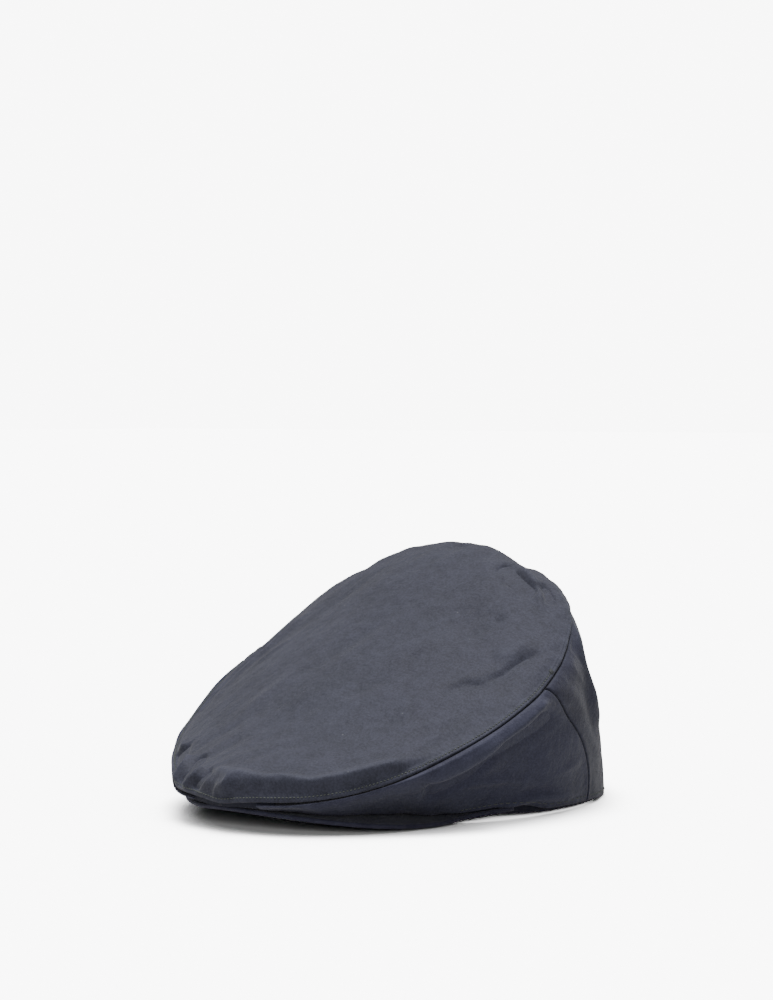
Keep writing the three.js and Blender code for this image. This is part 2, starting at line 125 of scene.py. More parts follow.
# Smaller creases that wear has left in the top panel, laid out in the same way.
# sharp narrows the crest, fade thins both ends out.
TOP_CREASES = [
    dict(line=[(34, 20), (40, 17), (48, 12), (58, 9), (66, 8)], width=5.0, rise=-5.2, fade=0.2),
    dict(line=[(40, 25), (48, 20), (56, 16), (65, 12), (69, 8), (74, 4)], width=3.2, rise=2.4, fade=0.2),
    dict(line=[(37, 12), (44, 11), (50, 10)], width=2.0, rise=1.3, fade=0.3),
    dict(line=[(61, 18), (68, 13), (75, 8)], width=3.4, rise=-3.8, fade=0.3),
    dict(line=[(-9, 29), (0, 27), (8, 27)], width=3.6, rise=-2.4, fade=0.35),
    dict(line=[(17, 31), (20, 26), (25, 18)], width=1.8, rise=-1.0, fade=0.3),
    dict(line=[(60, 27), (50, 38), (38, 49), (26, 58), (14, 65)], width=7.5, rise=-8.0, fade=0.16),
    dict(line=[(0, 39), (14, 39), (30, 37)], width=11, rise=-1.2),
    dict(line=[(-47, 24), (-41, 27), (-35, 30)], width=6.5, rise=2.0),
    dict(line=[(74, -48), (80, -38), (83, -28), (88, -14)], width=2.5, rise=-2.3, fade=0.3),
    dict(line=[(70, -36), (76, -26), (80, -16)], width=3.0, rise=1.2, fade=0.35),
    dict(line=[(60, -66), (69, -54), (75, -49), (81, -44)], width=2.3, rise=-2.0, fade=0.3),
    dict(line=[(48, -30), (54, -20), (60, -8)], width=4.6, rise=-1.8, fade=0.35),
    dict(line=[(30, -50), (42, -34), (48, -22)], width=5.0, rise=1.3, fade=0.4),
    dict(line=[(10, -86), (24, -70), (34, -58)], width=5.0, rise=-1.4, fade=0.4),
    dict(line=[(-20, -60), (-8, -44), (2, -26)], width=6.0, rise=-1.3, fade=0.4),
    dict(line=[(36, -104), (48, -88), (56, -76)], width=5.0, rise=-1.3, fade=0.4),
    dict(line=[(-44, -96), (-34, -80), (-26, -64)], width=5.5, rise=1.2, fade=0.4),
    dict(line=[(-76, -78), (-81, -66), (-82, -54), (-77, -41), (-71, -28), (-67, -12)], width=3.2, rise=1.7,
         fade=0.15),
    dict(line=[(-82, -80), (-88, -64), (-89, -50), (-85, -36), (-80, -22), (-75, -8)], width=4.2, rise=-2.6,
         fade=0.15),
    dict(line=[(-72, -54), (-66, -45), (-57, -35)], width=3.0, rise=1.0, fade=0.35),
    dict(line=[(-46, -122), (-44, -128), (-43, -134), (-40, -143)], width=1.8, rise=3.0, fade=0.1,
         sharp=1.5),
    dict(line=[(-66, -108), (-58, -120), (-51, -133)], width=3.8, rise=-3.8, fade=0.12),
    dict(line=[(-72, -100), (-66, -108), (-60, -120)], width=1.8, rise=1.8, fade=0.3, sharp=1.4),
    dict(line=[(-37, -124), (-35, -134), (-33, -146)], width=3.4, rise=-3.8, fade=0.12),
    dict(line=[(-22, -138), (-24, -142), (-27, -146), (-28, -150)], width=1.8, rise=2.8, fade=0.1,
         sharp=1.5),
    dict(line=[(-14, -140), (-17, -145), (-20, -150)], width=2.8, rise=-2.4, fade=0.25),
    dict(line=[(-6, -151), (0, -149), (6, -145)], width=1.8, rise=1.4, fade=0.25, sharp=1.3),
    dict(line=[(-14, -141), (2, -144.5), (14, -143), (28, -137.5), (40, -133), (51, -122), (64, -107),
               (73, -99)], width=3.0, rise=2.8, fade=0.08),
    dict(line=[(10, -138), (22, -133), (34, -125)], width=4.5, rise=-1.2, fade=0.4),
]

# Creases of the side and back panels, as (station, height) points
WALL_CREASES = [
    dict(line=[(5.2, 24), (5.6, 27), (6.21, 31.4), (6.67, 37.2), (7.19, 44.5), (8.2, 56), (8.8, 63)],
         width=4.2, rise=3.6, fade=0.14),
    dict(line=[(5.2, 18), (5.6, 21), (6.21, 25.6), (6.67, 31), (7.19, 38), (8.2, 49), (8.8, 56)],
         width=3.6, rise=-3.2, fade=0.14),
    dict(line=[(7.0, 33), (6.47, 24), (5.84, 19.5), (5.2, 16)], width=3.2, rise=-2.2, fade=0.25),
    dict(line=[(7.3, 32), (6.8, 27), (6.2, 24)], width=3.2, rise=1.2, fade=0.3),
    dict(line=[(6.2, 19), (6.46, 20.4), (7.32, 20.8), (7.96, 16.8)], width=2.2, rise=1.2, fade=0.3),
    dict(line=[(8.2, 20), (8.5, 23), (8.85, 26)], width=2.0, rise=1.0, fade=0.35),
    dict(line=[(7.2, 5), (7.6, 8.9), (7.9, 10.4), (8.3, 8.6), (8.7, 6)], width=2.2, rise=1.6, fade=0.2),
    dict(line=[(7.4, 12), (7.8, 14), (8.3, 12)], width=2.2, rise=-0.9, fade=0.3),
    dict(line=[(11.0, 93), (10.75, 88), (10.55, 74), (10.45, 60), (10.35, 48)], width=2.4, rise=1.7,
         fade=0.15, sharp=1.3),
    dict(line=[(11.0, 88), (10.93, 76), (10.88, 64)], width=2.2, rise=-2.0, fade=0.25),
    dict(line=[(10.9, 66), (10.6, 52), (10.45, 38)], width=6.0, rise=1.6, fade=0.3),
    dict(line=[(9.8, 78), (9.9, 60), (9.9, 26)], width=9.0, rise=-1.4, fade=0.25),
    dict(line=[(13.4, 84), (14.2, 62), (14.4, 40)], width=4.0, rise=-2.0, fade=0.3),
    dict(line=[(12.6, 80), (13.2, 60), (13.2, 36)], width=4.0, rise=1.4, fade=0.3),
    dict(line=[(16.8, 86), (16.4, 66), (17.2, 42)], width=3.6, rise=1.9, fade=0.3),
    dict(line=[(15.6, 70), (15.4, 50), (16.0, 30)], width=4.2, rise=-1.6, fade=0.3),
    dict(line=[(19.2, 84), (19.4, 64), (19.2, 40)], width=4.2, rise=-2.0, fade=0.25),
    dict(line=[(22.2, 44), (23.2, 34), (24.2, 26)], width=3.0, rise=-2.4, fade=0.2),
    dict(line=[(22.0, 50), (23.0, 40), (24.3, 31)], width=3.2, rise=1.9, fade=0.2),
    dict(line=[(21.6, 26), (22.6, 19), (23.6, 16)], width=3.0, rise=1.2, fade=0.3),
]

# Ripples of the slack cloth: rise and the length of a wave across and along them, in millimetres
LONG_RIPPLE = dict(rise=0.6, size=(8.5, 34), seed=12)
FINE_RIPPLE = dict(rise=0.2, size=(4, 13), seed=15)
BROAD_RIPPLE = dict(rise=0.8, size=(22, 26), seed=14)
TOP_DRIFT = [dict(rise=6, size=(34, 34), seed=11), dict(rise=2.5, size=(13, 15), seed=16)]
TOP_GRAIN_TURN = -34
CRUMPLE_SIZE = (8, 26)
WALL_RIPPLE = dict(rise=0.3, size=(12, 30), seed=31)
WALL_BROAD_RIPPLE = dict(rise=0.6, size=(24, 24), seed=33)
WALL_CRUMPLE_SIZE = (9, 19)
FRONT_WAVE = dict(rise=0.3, size=(15, 30), seed=41)
FRONT_RIPPLE = dict(rise=0.25, size=(6.5, 16), seed=42)
CALM_FRONT_RIGHT = dict(by=0.55, side=(0, 40), ahead=(30, 80))

# Gathers along a stitched edge, and the band of turned-in cloth with the stitches' groove in it
PUCKER_RISE = 0.34
PUCKER_REACH = 6.5
RIDGE_RISE = 0.42
RIDGE_SLOPE = (1.9, 4.2)
GROOVE_DEPTH = 0.26
GROOVE_WIDTH = 0.42

# Where wear moves the cloth away from the even shape. by: how far. stations: where that starts,
# is full, is still full and ends. drop: the same, from the seam at 0 down to the foot at 1.
RIGHT_SWELL = dict(by=12.0, stations=(18.6, 20.2, 21.2, 23.6))
BACK_SWELL = dict(by=15.0, stations=(12.8, 13.5, 14.3, 15.3))
RIGHT_CORNER_SWELL = dict(by=4.5, stations=(23.2, 24.4, 25.4, 26.8))
BACK_PULL = dict(by=-3.0, stations=(10.2, 11, 12.6, 13.4))
BACK_SAG = dict(by=13.0, stations=(8.2, 10.6, 11.4, 13.6), drop=(0, 0.36, 0.42, 1))
SIDE_SAG = dict(by=2.5, stations=(4, 5.4, 6.6, 7.8), drop=(0, 0.2, 0.3, 0.9))
WALL_FOLDS_DROP = (0, 0.15, 0.8, 1)

# The sags go out towards the front left. The front of the top panel rolls down the same way,
# ahead of a line across the cap and over a band beside its edge.
SAG_WAY = np.array([math.sin(math.radians(40)), -math.cos(math.radians(40)), 0.0])
FRONT_SAG = dict(by=5.5, ahead=(84, 112), inward=(1, 12, 13, 42))

# The peak bends up and in at its right corner
RIGHT_CORNER_SIDE = (12, 56)
RIGHT_CORNER_AHEAD = (70, 125)
RIGHT_CORNER_LIFT = 4.2
RIGHT_CORNER_TUCK = 2.6
TUCK_WAY = (0.77, 0.64)

SIDE_SEAM_GAP = 0.35
EDGE_ROUND = 0.7
LINING_ROUND = 0.3
EDGE_WEAR_REACH = 3.0
WALL_EDGE_WEAR_REACH = 2.5
PEAK_EDGE_WEAR_REACH = 2.0
WALL_FOOT_ROUND = 0.9
WALL_END_ROUND = 1.0
DEEPEST_TURN = 1.15
SEAM_STRIP_DEPTH = 1.2
SEAM_STRIP_THICKNESS = 0.15
SEAM_STRIP_HALF_WIDTH = 5

# Stitches: how far from the edge, where they end, their pitch and thread, and the share of the
# pitch that lies on the cloth. A bar tack's threads lie side by side past the last stitch.
STITCH_INSET = 2.1
STITCHES_END_STATION = 9.35
TOP_STITCH = dict(pitch=1.8, radius=0.27)
HEM_STITCH = dict(pitch=2.4, radius=0.22)
HEM_STITCH_UP = 3.0
HEM_STITCHES_FROM_STATION = 6.4
STITCH_SHARE = 0.62
STITCH_WOBBLE = 0.06
TACK_STEPS = np.array([0.2, 0.75, 1.3, 1.85])
TACK_FROM = 0.9
TACK_TO = 3.6
TACK_RADIUS = 0.3

# How many points each grid of cloth has
TOP_COLUMNS = 520
WALL_COLUMNS = 250
WALL_ROWS = 96
BACK_COLUMNS = 360
BACK_ROWS = 116
PEAK_COLUMNS = 260
BAND_COLUMNS = 300
ALLOWANCE_COLUMNS = 330
LINING_ROWS = 20
WALL_LINING_ROWS = 16


# Shapes

def smooth(value, low, high):
    share = np.clip((value - low) / (high - low), 0, 1)
    return share * share * (3 - 2 * share)


def window(value, places):
    """1 between the middle two places, 0 outside the outer two."""
    start, full, still_full, end = places
    return smooth(value, start, full) * (1 - smooth(value, still_full, end))


def mirrored(row):
    side, along, up = row["seam"]
    turn, reach = row["foot"]
    return {**row, "seam": (-side, along, up), "foot": (180 - turn, reach)}


AROUND = STATIONS + [mirrored(row) for row in reversed(STATIONS[1:-1])]
ROUND = len(AROUND)
RIGHT_SEAM_STATION = ROUND - SIDE_SEAM_STATION


def through(points, place, closed=False):
    """Smooth curve through the points; place counts points from 0."""
    points = np.asarray(points, float)
    place = np.asarray(place, float)
    count = len(points)
    if closed:
        before = np.floor(place).astype(int)
        rows = [points[(before + step) % count] for step in (-1, 0, 1, 2)]
    else:
        first = 2 * points[0] - points[1]
        last = 2 * points[-1] - points[-2]
        padded = np.vstack([first, points, last])
        before = np.clip(np.floor(place).astype(int), 0, count - 2)
        rows = [padded[before + step] for step in (0, 1, 2, 3)]
    w = (place - before)[..., None]
    a, b, c, d = rows
    return 0.5 * (2 * b + (c - a) * w + (2 * a - 5 * b + 4 * c - d) * w ** 2
                  + (3 * b - a - 3 * c + d) * w ** 3)


SEAM_POINTS = [row["seam"] for row in AROUND]
FOOT_POINTS = [row["foot"] for row in AROUND] + [mirrored(STATIONS[0])["foot"]]


def seam_point(station):
    return through(SEAM_POINTS, station, closed=True)


def station_value(station, name):
    values = np.array([row[name] for row in AROUND], float)
    before = np.floor(station).astype(int)
    w = (station - before)[..., None]
    w = w * w * (3 - 2 * w)
    return values[before % ROUND] * (1 - w) + values[(before + 1) % ROUND] * w


def head_oval(turn, outwards=0.0):
    """Turn 0 is on the wearer's left, 90 at the back."""
    angle = np.radians(turn)
    side = (HEAD_HALF_WIDTH + outwards) * np.cos(angle)
    along = (HEAD_HALF_LENGTH + outwards) * np.sin(angle)
    return side, along


def right_corner(side, along):
    return smooth(-side, *RIGHT_CORNER_SIDE) * smooth(-along, *RIGHT_CORNER_AHEAD)


def peak_under(side, along):
    """Height of the peak's underside."""
    arch = PEAK_ARCH * (1 - (side / PEAK_ARCH_HALF_WIDTH) ** 2)
    behind = PEAK_CORNER_LIFT * smooth(along, *PEAK_CORNER_ALONG)
    arched = 0.5 * (arch + np.hypot(arch, PEAK_ARCH_BLEND))
    return arched + behind + RIGHT_CORNER_LIFT * right_corner(side, along)


def hem_height(turn):
    from_back = np.abs(np.mod(turn + 90, 360) - 180)
    return HEM_RISE * smooth(from_back, *HEM_RISE_TURNS)


def foot_height(side, along):
    """Height of the panels' lower edge, on the hem line behind and on the peak in front."""
    turn = np.degrees(np.arctan2(along / HEAD_HALF_LENGTH, np.abs(side) / HEAD_HALF_WIDTH))
    on_peak = peak_under(side, along) + PEAK_THICKNESS + CLOTH_OVER_PEAK
    blend = smooth(-turn, *ONTO_PEAK_TURNS)
    return hem_height(turn) * (1 - blend) + on_peak * blend


def foot_point(station, outwards=0.0):
    foot = through(FOOT_POINTS, np.mod(station, ROUND))
    side, along = head_oval(foot[..., 0], np.maximum(foot[..., 1], 0) + outwards)
    return np.stack([side, along, foot_height(side, along)], -1)


def level_out(station):
    """Level direction that points away from the cap."""
    ahead = seam_point(station + 0.05) - seam_point(station - 0.05)
    out = np.stack([ahead[..., 1], -ahead[..., 0], 0 * ahead[..., 0]], -1)
    return out / np.linalg.norm(out, axis=-1, keepdims=True)


EDGE_STATIONS = np.linspace(0, len(STATIONS) - 1, 4000)
EDGE = seam_point(EDGE_STATIONS)
SPINE_CURVE = through(SPINE, np.linspace(0, len(SPINE) - 1, 3000))
SEAM_STATIONS = np.linspace(0, ROUND, 6001)
SEAM_STEPS = np.linalg.norm(np.diff(seam_point(SEAM_STATIONS), axis=0), axis=1)
ARC = np.concatenate([[0], np.cumsum(SEAM_STEPS)])
STATION_LENGTH = ARC[-1] / ROUND


def arc_at(station):
    """Millimetres round the seam from the middle of the front."""
    return np.interp(station, SEAM_STATIONS, ARC)


def lattice(i, j, seed):
    """A fixed chance value from -1 to 1 for each whole-number place."""
    n = (i * 374761393 + j * 668265263 + seed * 144269) & 0xFFFFFFFF
    n = ((n ^ (n >> 13)) * 1274126177) & 0xFFFFFFFF
    return ((n ^ (n >> 16)) & 0xFFFF) / 32767.5 - 1


def soft_noise(x, y, seed):
    i = np.floor(x).astype(np.int64)
    j = np.floor(y).astype(np.int64)
    u = x - i
    v = y - j
    u = u * u * u * (u * (6 * u - 15) + 10)
    v = v * v * v * (v * (6 * v - 15) + 10)
    low = lattice(i, j, seed) * (1 - u) + lattice(i + 1, j, seed) * u
    high = lattice(i, j + 1, seed) * (1 - u) + lattice(i + 1, j + 1, seed) * u
    return low * (1 - v) + high * v


def crumple(x, y, size, seed):
    """Soft ground with narrow raised lines."""
    return 1 - 2 * np.sqrt(soft_noise(x / size[0], y / size[1], seed) ** 2 + 0.004)


def ripple(row, x, y):
    return row["rise"] * soft_noise(x / row["size"][0], y / row["size"][1], row["seed"])


def turned(x, y, degrees):
    angle = math.radians(degrees)
    return x * math.cos(angle) + y * math.sin(angle), y * math.cos(angle) - x * math.sin(angle)


def fold_lift(folds, x, y, scale=1.0):
    """Ridges and dents along bent lines."""
    lift = np.zeros_like(x)
    for fold in folds:
        points = [(px * scale, py) for px, py in fold["line"]]
        nearest = np.full_like(x, 1e9)
        run = np.zeros_like(x)
        total = sum(math.dist(a, b) for a, b in zip(points, points[1:]))
        done = 0.0
        for start, end in zip(points, points[1:]):
            dx = end[0] - start[0]
            dy = end[1] - start[1]
            length = math.hypot(dx, dy)
            share = ((x - start[0]) * dx + (y - start[1]) * dy) / length ** 2
            held = np.clip(share, 0, 1)
            distance = np.hypot(x - start[0] - held * dx, y - start[1] - held * dy)
            closer = distance < nearest
            nearest = np.where(closer, distance, nearest)
            run = np.where(closer, (done + held * length) / total, run)
            done += length
        shape = np.exp(-(nearest / fold["width"]) ** (2 / fold.get("sharp", 1.0)))
        fade = fold.get("fade")
        if fade:
            shape = shape * window(run, (0, fade, 1 - fade, 1))
        lift += fold["rise"] * shape
    return lift


def top_base(station, ring):
    """The even top panel: ring is 0 in its middle and 1 at its edge."""
    edge = seam_point(station)
    x = edge[..., 0] * ring
    y = CROWN_MIDDLE_ALONG + (edge[..., 1] - CROWN_MIDDLE_ALONG) * ring
    edge_side = np.interp(y, EDGE[:, 1], EDGE[:, 0])
    edge_up = np.interp(y, EDGE[:, 1], EDGE[:, 2])
    spine_up = np.interp(y, SPINE_CURVE[:, 0], SPINE_CURVE[:, 1])
    fullness = np.interp(y, SPINE_CURVE[:, 0], SPINE_CURVE[:, 2])
    across = np.minimum(1, np.abs(x) / np.maximum(edge_side, 0.01))
    share = np.maximum(0, 1 - across ** 2) ** fullness
    fade = 1 - smooth(ring, 0.86, 1)
    fold = fold_lift(TOP_FOLDS, x, y)
    return np.stack([x, y, edge_up + (spine_up - edge_up) * share + fold * fade], -1)


def worn(form, station, drop=None):
    """How far one form of wear moves the cloth here."""
    amount = form["by"] * window(station, form["stations"])
    if "drop" in form:
        amount = amount * window(drop, form["drop"])
    return amount


def wall_base(station, drop):
    """The hanging cloth: drop is 0 at the seam and 1 at the foot."""
    seam = seam_point(station)
    foot = foot_point(station)
    out = level_out(station)
    roll = station_value(station, "roll")
    skirt_by = station_value(station, "skirt")
    up = np.array([0.0, 0.0, 1.0])
    higher = worn(RIGHT_SWELL, station) + worn(BACK_SWELL, station)
    fuller = worn(RIGHT_CORNER_SWELL, station) + worn(BACK_PULL, station)
    swell = seam + out * (roll[..., :1] + fuller[..., None]) + up * (roll[..., 1:] + higher[..., None])
    skirt = foot_point(station, skirt_by[..., 0])
    skirt[..., 2] = foot[..., 2] + skirt_by[..., 1]
    d = drop[..., None]
    point = (seam * (1 - d) ** 3 + 3 * swell * d * (1 - d) ** 2
             + 3 * skirt * d ** 2 * (1 - d) + foot * d ** 3)
    lift = fold_lift(WALL_FOLDS, station * STATION_LENGTH, point[..., 2], STATION_LENGTH)
    fade = window(drop, WALL_FOLDS_DROP)
    sag = worn(BACK_SAG, station, drop) + worn(SIDE_SAG, station, drop)
    return point + out * (lift * fade)[..., None] + SAG_WAY * sag[..., None]


def grid_normals(points, closed):
    """Outward directions of a grid whose rows run down and whose columns run round to the left."""
    down = np.gradient(points, axis=0)
    if closed:
        round_ = np.roll(points, -1, axis=1) - np.roll(points, 1, axis=1)
    else:
        round_ = np.gradient(points, axis=1)
    normal = np.cross(down, round_)
    length = np.linalg.norm(normal, axis=-1, keepdims=True)
    return normal / np.maximum(length, 1e-9)


def edge_curl(distance, radius=EDGE_ROUND):
    """How far the cloth turns inwards this close to its edge."""
    near = np.clip(radius - distance, 0, radius)
    return radius - np.sqrt(np.maximum(radius ** 2 - near ** 2, 0))


# Making meshes

def to_frame(points):
    moved = np.array(points, float)
    moved[..., 0] += HEM_MIDDLE[0]
    moved[..., 1] += HEM_MIDDLE[1]
    return moved * MM


def make_object(name, points, faces, attributes=None, uv=None):
    mesh = bpy.data.meshes.new(name)
    mesh.from_pydata(to_frame(points).tolist(), [], faces)
    mesh.update()
    for polygon in mesh.polygons:
        polygon.use_smooth = True
    for key, values in (attributes or {}).items():
        layer = mesh.attributes.new(key, "FLOAT", "POINT")
        layer.data.foreach_set("value", np.asarray(values, np.float32))
    if uv is not None:
        layer = mesh.uv_layers.new(name="cloth")
        loops = np.zeros(len(mesh.loops), np.int32)
        mesh.loops.foreach_get("vertex_index", loops)
        layer.data.foreach_set("uv", np.asarray(uv, np.float32)[loops].ravel())
    piece = bpy.data.objects.new(name, mesh)
    bpy.context.scene.collection.objects.link(piece)
    return piece


def sheet_faces(rows, columns, closed):
    last = columns if closed else columns - 1
    faces = []
    for row in range(rows - 1):
        for column in range(last):
            next_ = (column + 1) % columns
            faces.append((row * columns + column, (row + 1) * columns + column,
                          (row + 1) * columns + next_, row * columns + next_))
    return faces


def cloth_body(name, outer, inner, closed, uv, attributes, poles=None):
    """A closed body from a grid of its outside and, from its last row back, a grid of its lining."""
    rows, columns = outer.shape[:2]
    total = rows + inner.shape[0]
    points = np.vstack([outer.reshape(-1, 3), inner.reshape(-1, 3)])
    faces = sheet_faces(total, columns, closed)
    last = (total - 1) * columns
    if poles is not None:
        points = np.vstack([points, poles])
        top = total * columns
        for column in range(columns):
            after = (column + 1) % columns
            faces.append((top, column, after))
            faces.append((top + 1, last + after, last + column))
    else:
        for column in range(columns if closed else columns - 1):
            after = (column + 1) % columns
            faces.append((column, after, last + after, last + column))
    if not closed:
        faces.append(tuple(row * columns for row in reversed(range(total))))
        faces.append(tuple(row * columns + columns - 1 for row in range(total)))
    extra = len(points) - rows * columns
    spread = {key: np.concatenate([values.ravel(), np.zeros(extra)]) for key, values in attributes.items()}
    flat_uv = uv.reshape(-1, 2)
    spare = np.repeat(flat_uv[-1:], extra, 0)
    spare[:inner.shape[0] * columns] = np.tile(uv[-1], (inner.shape[0], 1))
    return make_object(name, points, faces, spread, np.vstack([flat_uv, spare]))


def shrink_rows(grid, keep):
    """The grid's rows from last to first, only as many as asked, for a plain lining."""
    rows = np.unique(np.round(np.linspace(0, len(grid) - 1, keep)).astype(int))
    return grid[rows[::-1]]


def run_length(points, axis):
    steps = np.linalg.norm(np.diff(points, axis=axis), axis=-1)
    start = np.zeros_like(np.take(steps, [0], axis=axis))
    return np.concatenate([start, np.cumsum(steps, axis=axis)], axis=axis)


def seam_pucker(arc, inward):
    """Small gathers square to a stitched edge, fading out into the panel."""
    wave = soft_noise(arc / 4.6, inward / 30, 21) + 0.5 * soft_noise(arc / 2.3, inward / 14, 22)
    strength = 0.35 + 0.65 * smooth(soft_noise(arc / 38, 0 * arc, 23), -0.5, 0.6)
    return PUCKER_RISE * wave * strength * np.exp(-inward / PUCKER_REACH)


def stitched_ridge(inward):
    """The turned-in cloth lifts a band beside the seam, pulled down again under the stitches."""
    band = RIDGE_RISE * (1 - smooth(inward, *RIDGE_SLOPE))
    groove = GROOVE_DEPTH * np.exp(-((inward - STITCH_INSET) / GROOVE_WIDTH) ** 2)
    return band - groove


# Top panel

def top_relief(x, y, arc, inward):
    """Ripples, creases and the seam's own marks. The front right is calmer than the rest."""
    across, along = turned(x, y, TOP_GRAIN_TURN)
    drift = sum(ripple(row, x, y) for row in TOP_DRIFT)
    lift = ripple(LONG_RIPPLE, across + drift, along)
    crumple_rise = 0.18 + 0.24 * smooth(x, -50, 10)
    lift += crumple_rise * crumple(across - drift, along, CRUMPLE_SIZE, 13)
    lift += ripple(FINE_RIPPLE, across + drift, along)
    lift += ripple(BROAD_RIPPLE, x, y)
    strength = 0.7 + 0.5 * soft_noise(x / 45, y / 45, 17)
    front_right = smooth(-x, *CALM_FRONT_RIGHT["side"]) * smooth(-y, *CALM_FRONT_RIGHT["ahead"])
    strength = strength * (1 - CALM_FRONT_RIGHT["by"] * front_right)
    calm = smooth(inward, 1, 9)
    creases = fold_lift(TOP_CREASES, x, y) * smooth(inward, 0.5, 4)
    return lift * strength * calm + creases + seam_pucker(arc, inward) + stitched_ridge(inward)


def make_top_panel():
    columns = TOP_COLUMNS
    station = np.arange(columns) * ROUND / columns
    rings = np.concatenate([np.linspace(0.012, 0.78, 58), np.linspace(0.788, 0.955, 34),
                            np.linspace(0.959, 0.9985, 18)])
    grid_station = np.broadcast_to(station, (len(rings), columns))
    grid_ring = np.broadcast_to(rings[:, None], (len(rings), columns))
    base = top_base(grid_station, grid_ring)
    normal = grid_normals(base, closed=True)
    run = run_length(base, 0)
    inward = run[-1] - run
    arc = arc_at(grid_station)
    lift = top_relief(base[..., 0], base[..., 1], arc, inward)
    front = smooth(-base[..., 1], *FRONT_SAG["ahead"]) * window(inward, FRONT_SAG["inward"])
    front = front * (1 + ripple(FRONT_WAVE, arc, inward) + ripple(FRONT_RIPPLE, arc, inward))
    sag = FRONT_SAG["by"] * front[..., None] * SAG_WAY
    outer = base + normal * (lift - edge_curl(inward))[..., None] + sag
    inside = base - normal * (CLOTH + edge_curl(inward, LINING_ROUND))[..., None] + sag
    lining = shrink_rows(inside, LINING_ROWS)
    poles = np.array([outer[0].mean(0), lining[-1].mean(0)])
    uv = base[..., :2] * MM
    attributes = dict(edge=np.exp(-inward / EDGE_WEAR_REACH), relief=lift)
    piece = cloth_body("top_panel_cloth", outer, lining, True, uv, attributes, poles)
    return piece, outer, grid_normals(outer, closed=True), inward, arc


# Side and back panels

def wall_relief(station, up, arc, down, from_ends):
    lift = ripple(WALL_RIPPLE, arc + 0.7 * up, up - 0.7 * arc)
    lift += 0.16 * crumple(arc + 0.5 * up, up, WALL_CRUMPLE_SIZE, 32)
    lift += ripple(WALL_BROAD_RIPPLE, arc + up, arc - up)
    lift += fold_lift(WALL_CREASES, station * STATION_LENGTH, up, STATION_LENGTH)
    return lift * smooth(down, 0.5, 6) * smooth(from_ends, 0.5, 5)


def make_wall(name, first, last, columns, rows):
    length = (last - first) * STATION_LENGTH
    near = np.array([0, 0.2, 0.45, 0.75, 1.2]) / length
    between = np.linspace(2.0 / length, 1 - 2.0 / length, columns - 2 * len(near))
    share = np.concatenate([near, between, 1 - near[::-1]])
    gap = SIDE_SEAM_GAP / STATION_LENGTH
    station = first + gap + (last - first - 2 * gap) * share
    drop = np.concatenate([np.linspace(0.003, 0.05, 8), np.linspace(0.06, 0.975, rows - 14),
                           np.linspace(0.983, 1, 6)])
    grid_station = np.broadcast_to(station, (rows, columns))
    grid_drop = np.broadcast_to(drop[:, None], (rows, columns))
    base = wall_base(grid_station, grid_drop)
    normal = grid_normals(base, closed=False)
    down = run_length(base, 0)
    up = down[-1] - down
    across = run_length(base, 1)
    from_ends = np.minimum(across, across[:, -1:] - across)
    arc = arc_at(grid_station)
    lift = wall_relief(grid_station, base[..., 2], arc, down, from_ends)
    curl = edge_curl(down) + edge_curl(up, WALL_FOOT_ROUND) + edge_curl(from_ends, WALL_END_ROUND)
    outer = base + normal * (lift - np.minimum(curl, DEEPEST_TURN))[..., None]
    lining = shrink_rows(base - normal * CLOTH, WALL_LINING_ROWS)
    uv = np.stack([arc, base[..., 2]], -1) * MM
    from_edge = np.minimum(down, np.minimum(up, from_ends))
    attributes = dict(edge=np.exp(-from_edge / WALL_EDGE_WEAR_REACH), relief=lift)
    piece = cloth_body(name, outer, lining, False, uv, attributes)
    return piece, outer, grid_normals(outer, closed=False), up, arc


def make_seam_allowance():
    """The turned-in edges of the panels, which close the long seam from behind."""
    columns = ALLOWANCE_COLUMNS
    depth = CLOTH + 0.25
    station = np.arange(columns) * ROUND / columns
    from_front = np.minimum(station, ROUND - station)
    # Only the third ring is kept. The others give it its outward directions.
    rings = np.array([0.955, 0.965, 0.975, 0.985])
    top_part = top_base(*np.broadcast_arrays(station, rings[:, None]))
    above = (top_part - depth * grid_normals(top_part, closed=True))[2]
    drop = 0.05 + 0.95 * (1 - smooth(from_front, 1.0, 1.6))
    below = wall_base(station, drop) - 0.9 * level_out(station)
    inward = -(level_out(station) + np.array([0, 0, 0.5]))
    middle = seam_point(station) + 1.4 * inward
    rows = np.array([above, middle, below])
    lining = (rows + 0.5 * inward)[::-1]
    arc = np.broadcast_to(arc_at(station), (3, columns))
    uv = np.stack([arc, np.broadcast_to(np.array([[0.0], [3.0], [6.0]]), arc.shape)], -1) * MM
    return cloth_body("seam_allowance", rows, lining, True, uv, dict(edge=0 * arc, relief=0 * arc))


def make_side_seam_allowance(name, station):
    """The strip behind a side seam, deeper than the panels' turned edges."""
    drop = np.linspace(0.03, 0.98, 60)
    half = SEAM_STRIP_HALF_WIDTH
    across = station + np.linspace(-half, half, 9) / STATION_LENGTH
    grid_drop, grid_station = np.meshgrid(drop, across, indexing="ij")
    base = wall_base(grid_station, grid_drop)
    normal = grid_normals(base, closed=False)
    uv = np.stack([arc_at(grid_station), base[..., 2]], -1) * MM
    flat = np.zeros(base.shape[:2])
    outer = base - SEAM_STRIP_DEPTH * normal
    lining = shrink_rows(outer - SEAM_STRIP_THICKNESS * normal, LINING_ROWS)
    return cloth_body(name, outer, lining, False, uv, dict(edge=flat, relief=flat))


# Peak and sweatband

